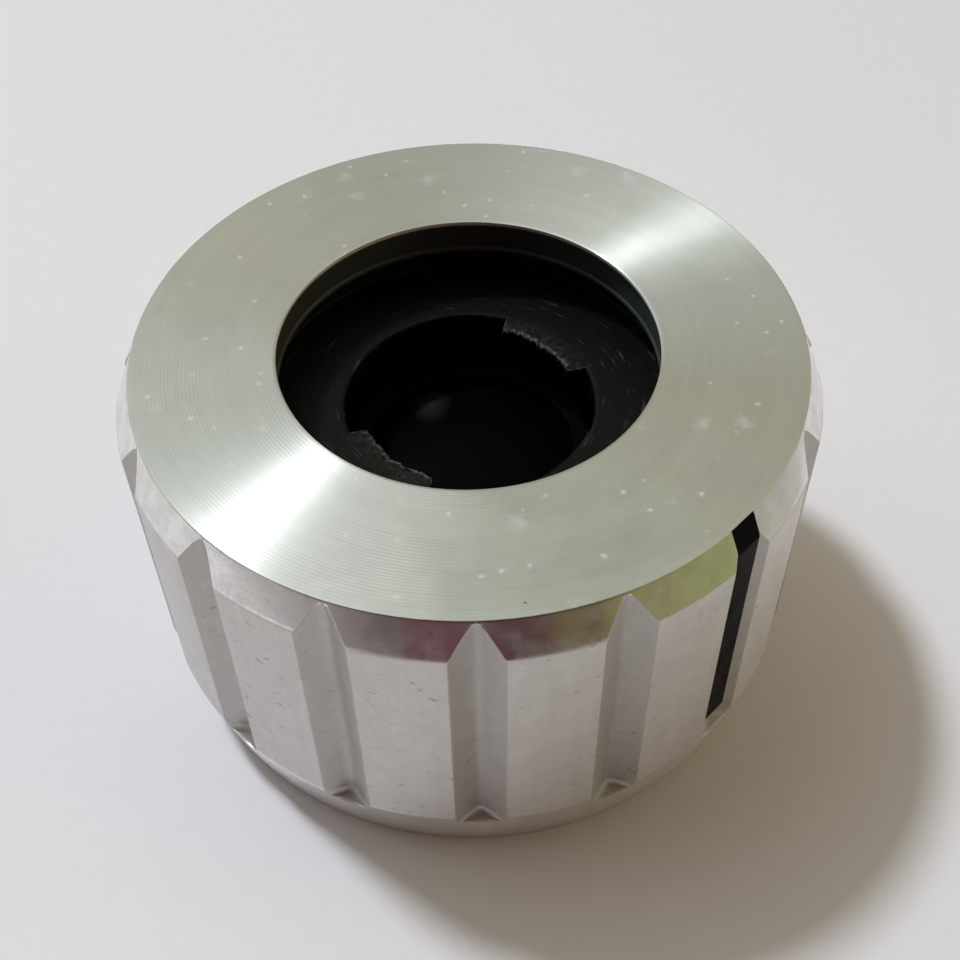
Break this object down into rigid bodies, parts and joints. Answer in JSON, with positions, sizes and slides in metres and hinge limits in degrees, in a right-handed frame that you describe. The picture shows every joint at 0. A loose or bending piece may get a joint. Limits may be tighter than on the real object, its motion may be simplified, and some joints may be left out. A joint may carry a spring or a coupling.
{
  "type": "hand-turned shaft coupling",
  "caption": "Fluted aluminium hand grip over a black core: a D-shaft bush with grub screws behind, a socket with drive dogs and a sprung follower in front.",
  "frame": {"origin": "centre of the rear rim, on the turning axis", "axes": "+Z along the turning axis towards the front face; the flutes start at +X and the index strip is at azimuth -45 degrees"},
  "size_m": [0.038, 0.038, 0.0211],
  "materials": {
    "grip_aluminium": "turned front face and chamfer, satin blasted lands and flutes",
    "index_black": "smooth black",
    "core_plastic": "moulded, semi-matt black",
    "follower_plastic": "smooth black",
    "spring_steel": "bright drawn wire",
    "bush_brass": "turned",
    "black_steel": "black oxide",
    "screw_steel": "zinc plated"
  },
  "bodies": {
    "grip_and_core": {"grip_shell": "grip_aluminium", "index_insert": "index_black", "retaining_collar": "core_plastic", "drive_socket": "core_plastic", "hub_core": "core_plastic", "return_spring": "spring_steel", "shaft_bush": "bush_brass", "rear_cover": "core_plastic", "cover_screw_1": "screw_steel", "cover_screw_2": "screw_steel", "cover_screw_3": "screw_steel", "drive_pin_1": "screw_steel", "drive_pin_2": "screw_steel"},
    "follower": {"follower": "follower_plastic"},
    "grub_screw_a": {"grub_screw_a": "black_steel"},
    "grub_screw_b": {"grub_screw_b": "black_steel"}
  },
  "joints": [
    {"name": "follower_press", "type": "slide", "parent": "grip_and_core", "child": "follower", "axis": [0, 0, -1], "range_m": [0, 0.0012], "stiffness_N_per_m": 300, "springref_m": -0.001, "deforming": ["return_spring"]},
    {"name": "grub_screw_a_back_out", "type": "slide", "parent": "grip_and_core", "child": "grub_screw_a", "axis": [0, 1, 0], "range_m": [0, 0.003]},
    {"name": "grub_screw_b_back_out", "type": "slide", "parent": "grip_and_core", "child": "grub_screw_b", "axis": [1, 0, 0], "range_m": [0, 0.003]}
  ]
}
